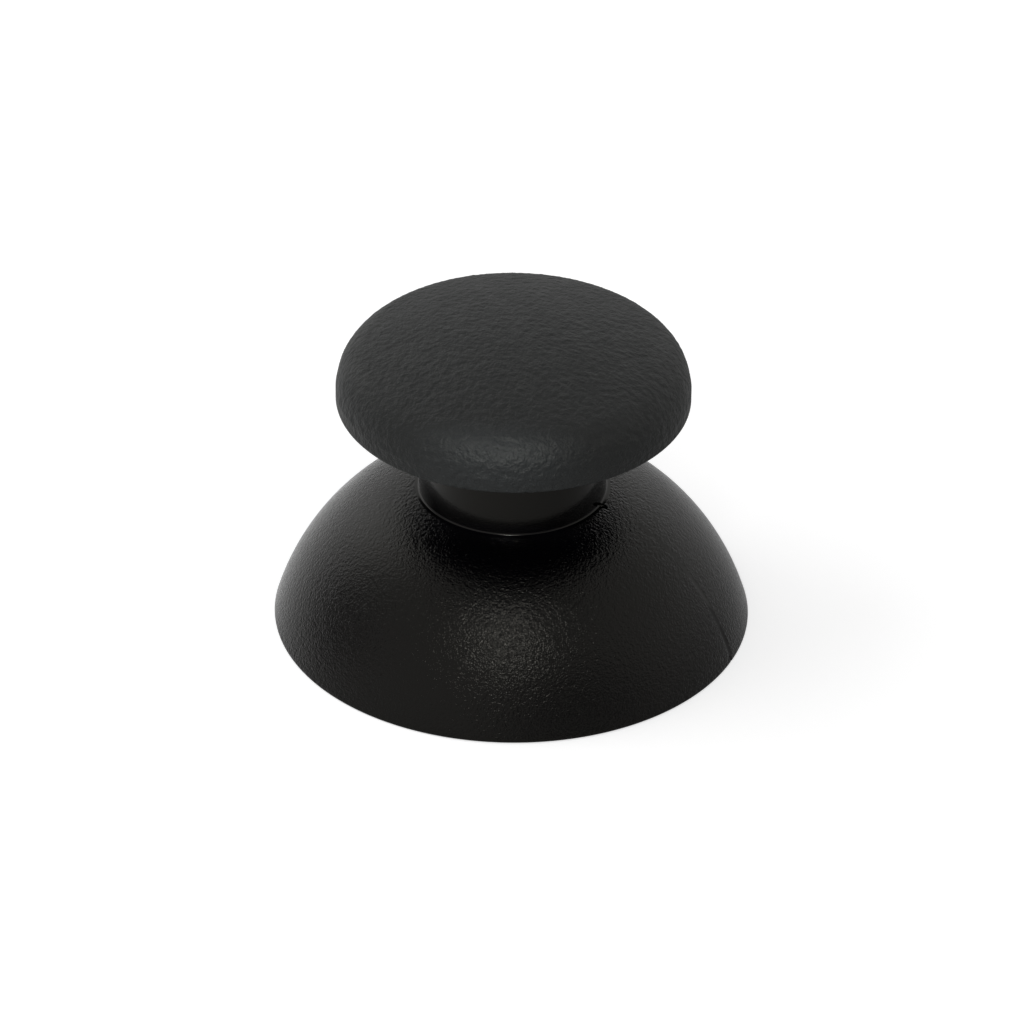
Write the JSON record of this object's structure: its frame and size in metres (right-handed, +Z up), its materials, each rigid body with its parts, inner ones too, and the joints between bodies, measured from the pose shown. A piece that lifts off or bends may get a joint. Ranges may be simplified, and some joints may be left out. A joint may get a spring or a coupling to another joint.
{
  "type": "thumbstick cap",
  "caption": "Round thumbstick cap: a domed skirt under a short stem, a low crowned soft top, and a keyed socket for the stick's shaft underneath.",
  "frame": {"origin": "centre of the skirt's rim, on the plane that the part stands on", "axes": "+Z up the stem to the soft top; +X in the mould's parting plane and along the flats of the shaft socket"},
  "size_m": [0.0248, 0.0248, 0.0172],
  "materials": {
    "hard_plastic": "satin",
    "soft_rubber": "matte"
  },
  "bodies": {
    "root": {"stick_body": "hard_plastic", "soft_top": "soft_rubber"}
  },
  "joints": []
}
